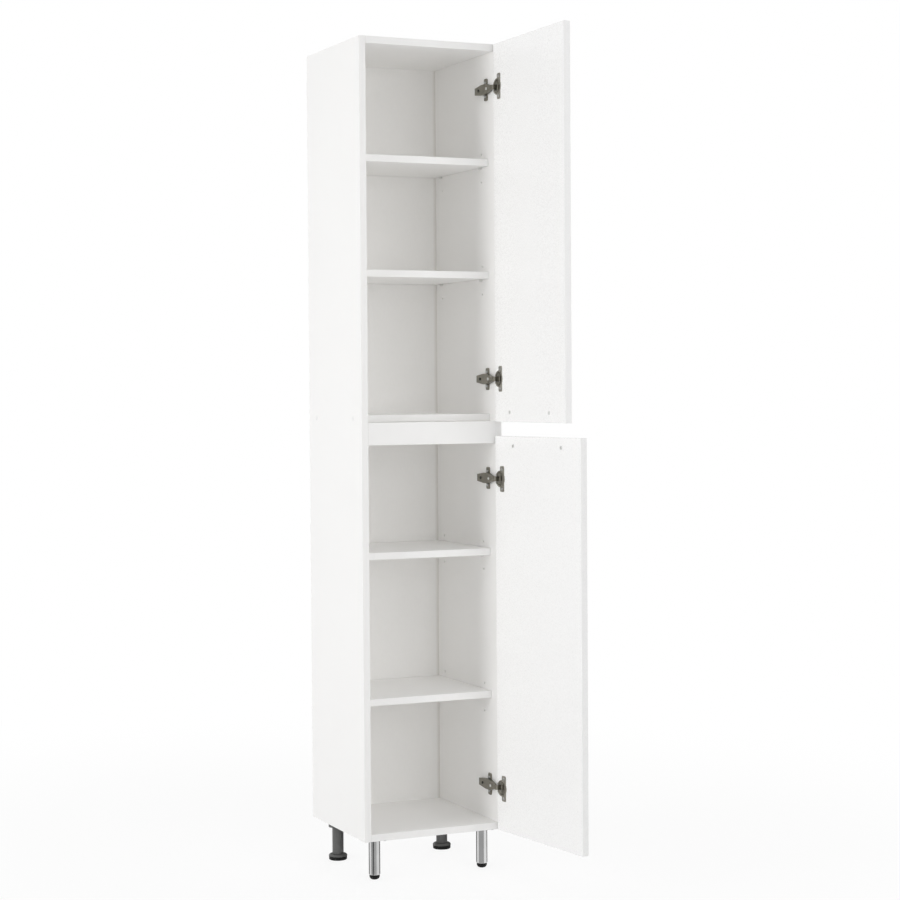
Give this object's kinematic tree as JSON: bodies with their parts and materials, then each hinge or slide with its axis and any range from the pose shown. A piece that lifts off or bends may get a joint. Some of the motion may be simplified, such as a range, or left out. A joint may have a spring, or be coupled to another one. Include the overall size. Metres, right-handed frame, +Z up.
{
  "type": "tall kitchen cabinet",
  "caption": "Tall narrow white cabinet on round feet, with stacked hinged doors, a fixed shelf above a front rail, and loose shelves on pins.",
  "frame": {"origin": "middle of the lower edge of the wall face, level with the carcass's underside; the feet reach 95 mm below it", "axes": "+Z up, the doors face -Y, the hinges are on the +X side, the wall is on the +Y side"},
  "size_m": [0.4119, 0.6788, 1.915],
  "materials": {
    "white_board": "white melamine faced board, satin",
    "door_board": "white faced board, smooth semi-gloss",
    "back_sheet": "white hardboard sheet, matt",
    "dowel_wood": "plain beech",
    "nickel_steel": "nickel plated",
    "zinc_steel": "bright zinc",
    "satin_steel": "satin",
    "chrome_tube": "brushed chrome",
    "black_plastic": "matt moulded",
    "white_plastic": "matt moulded"
  },
  "bodies": {
    "carcass": {"left_side": "white_board", "right_side": "white_board", "top_panel": "white_board", "bottom_panel": "white_board", "fixed_shelf": "white_board", "front_rail": "white_board", "back_panel": "back_sheet", "wood_dowels": "dowel_wood", "cam_locks": "zinc_steel", "cam_bolts": "zinc_steel", "shelf_screws": "zinc_steel", "screw_caps": "white_plastic", "shelf_pins": "zinc_steel", "back_nails": "zinc_steel", "hinge_plate_screws": "zinc_steel", "hinge_arm_screws": "zinc_steel", "foot_screws": "zinc_steel", "lower_bottom_hinge_arm": "nickel_steel", "lower_top_hinge_arm": "nickel_steel", "upper_bottom_hinge_arm": "nickel_steel", "upper_top_hinge_arm": "nickel_steel", "lower_bottom_hinge_plate": "nickel_steel", "lower_top_hinge_plate": "nickel_steel", "upper_bottom_hinge_plate": "nickel_steel", "upper_top_hinge_plate": "nickel_steel", "front_left_leg_plate": "zinc_steel", "front_right_leg_plate": "zinc_steel", "front_left_leg_tube": "chrome_tube", "front_right_leg_tube": "chrome_tube", "rear_left_foot_socket": "black_plastic", "rear_right_foot_socket": "black_plastic"},
    "upper_leaf": {"upper_door": "door_board", "upper_handle": "satin_steel", "upper_handle_screws": "zinc_steel", "upper_cup_screws": "zinc_steel", "upper_hinge_pins": "zinc_steel", "upper_bottom_hinge_cup": "nickel_steel", "upper_top_hinge_cup": "nickel_steel"},
    "lower_leaf": {"lower_door": "door_board", "lower_handle": "satin_steel", "lower_handle_screws": "zinc_steel", "lower_cup_screws": "zinc_steel", "lower_hinge_pins": "zinc_steel", "lower_bottom_hinge_cup": "nickel_steel", "lower_top_hinge_cup": "nickel_steel"},
    "loose_shelf_1": {"shelf_1": "white_board"},
    "loose_shelf_2": {"shelf_2": "white_board"},
    "loose_shelf_3": {"shelf_3": "white_board"},
    "loose_shelf_4": {"shelf_4": "white_board"},
    "front_left_levelling_foot": {"front_left_leg_glide": "black_plastic"},
    "front_right_levelling_foot": {"front_right_leg_glide": "black_plastic"},
    "rear_left_levelling_foot": {"rear_left_foot_base": "black_plastic"},
    "rear_right_levelling_foot": {"rear_right_foot_base": "black_plastic"}
  },
  "joints": [
    {"name": "upper_door_swing", "type": "hinge", "parent": "carcass", "child": "upper_leaf", "pos_m": [0.1654, -0.3415, 1.3845], "axis": [0, 0, 1], "range_deg": [-90.5, 8.5]},
    {"name": "lower_door_swing", "type": "hinge", "parent": "carcass", "child": "lower_leaf", "pos_m": [0.1654, -0.3415, 0.459], "axis": [0, 0, 1], "range_deg": [-97, 2]},
    {"name": "shelf_1_lift", "type": "slide", "parent": "carcass", "child": "loose_shelf_1", "axis": [0, 0, 1], "range_m": [0, 0.02]},
    {"name": "shelf_2_lift", "type": "slide", "parent": "carcass", "child": "loose_shelf_2", "axis": [0, 0, 1], "range_m": [0, 0.02]},
    {"name": "shelf_3_lift", "type": "slide", "parent": "carcass", "child": "loose_shelf_3", "axis": [0, 0, 1], "range_m": [0, 0.02]},
    {"name": "shelf_4_lift", "type": "slide", "parent": "carcass", "child": "loose_shelf_4", "axis": [0, 0, 1], "range_m": [0, 0.02]},
    {"name": "front_left_levelling", "type": "slide", "parent": "carcass", "child": "front_left_levelling_foot", "axis": [0, 0, 1], "range_m": [-0.015, 0]},
    {"name": "front_right_levelling", "type": "slide", "parent": "carcass", "child": "front_right_levelling_foot", "axis": [0, 0, 1], "range_m": [-0.015, 0]},
    {"name": "rear_left_levelling", "type": "slide", "parent": "carcass", "child": "rear_left_levelling_foot", "axis": [0, 0, 1], "range_m": [-0.015, 0]},
    {"name": "rear_right_levelling", "type": "slide", "parent": "carcass", "child": "rear_right_levelling_foot", "axis": [0, 0, 1], "range_m": [-0.015, 0]}
  ]
}
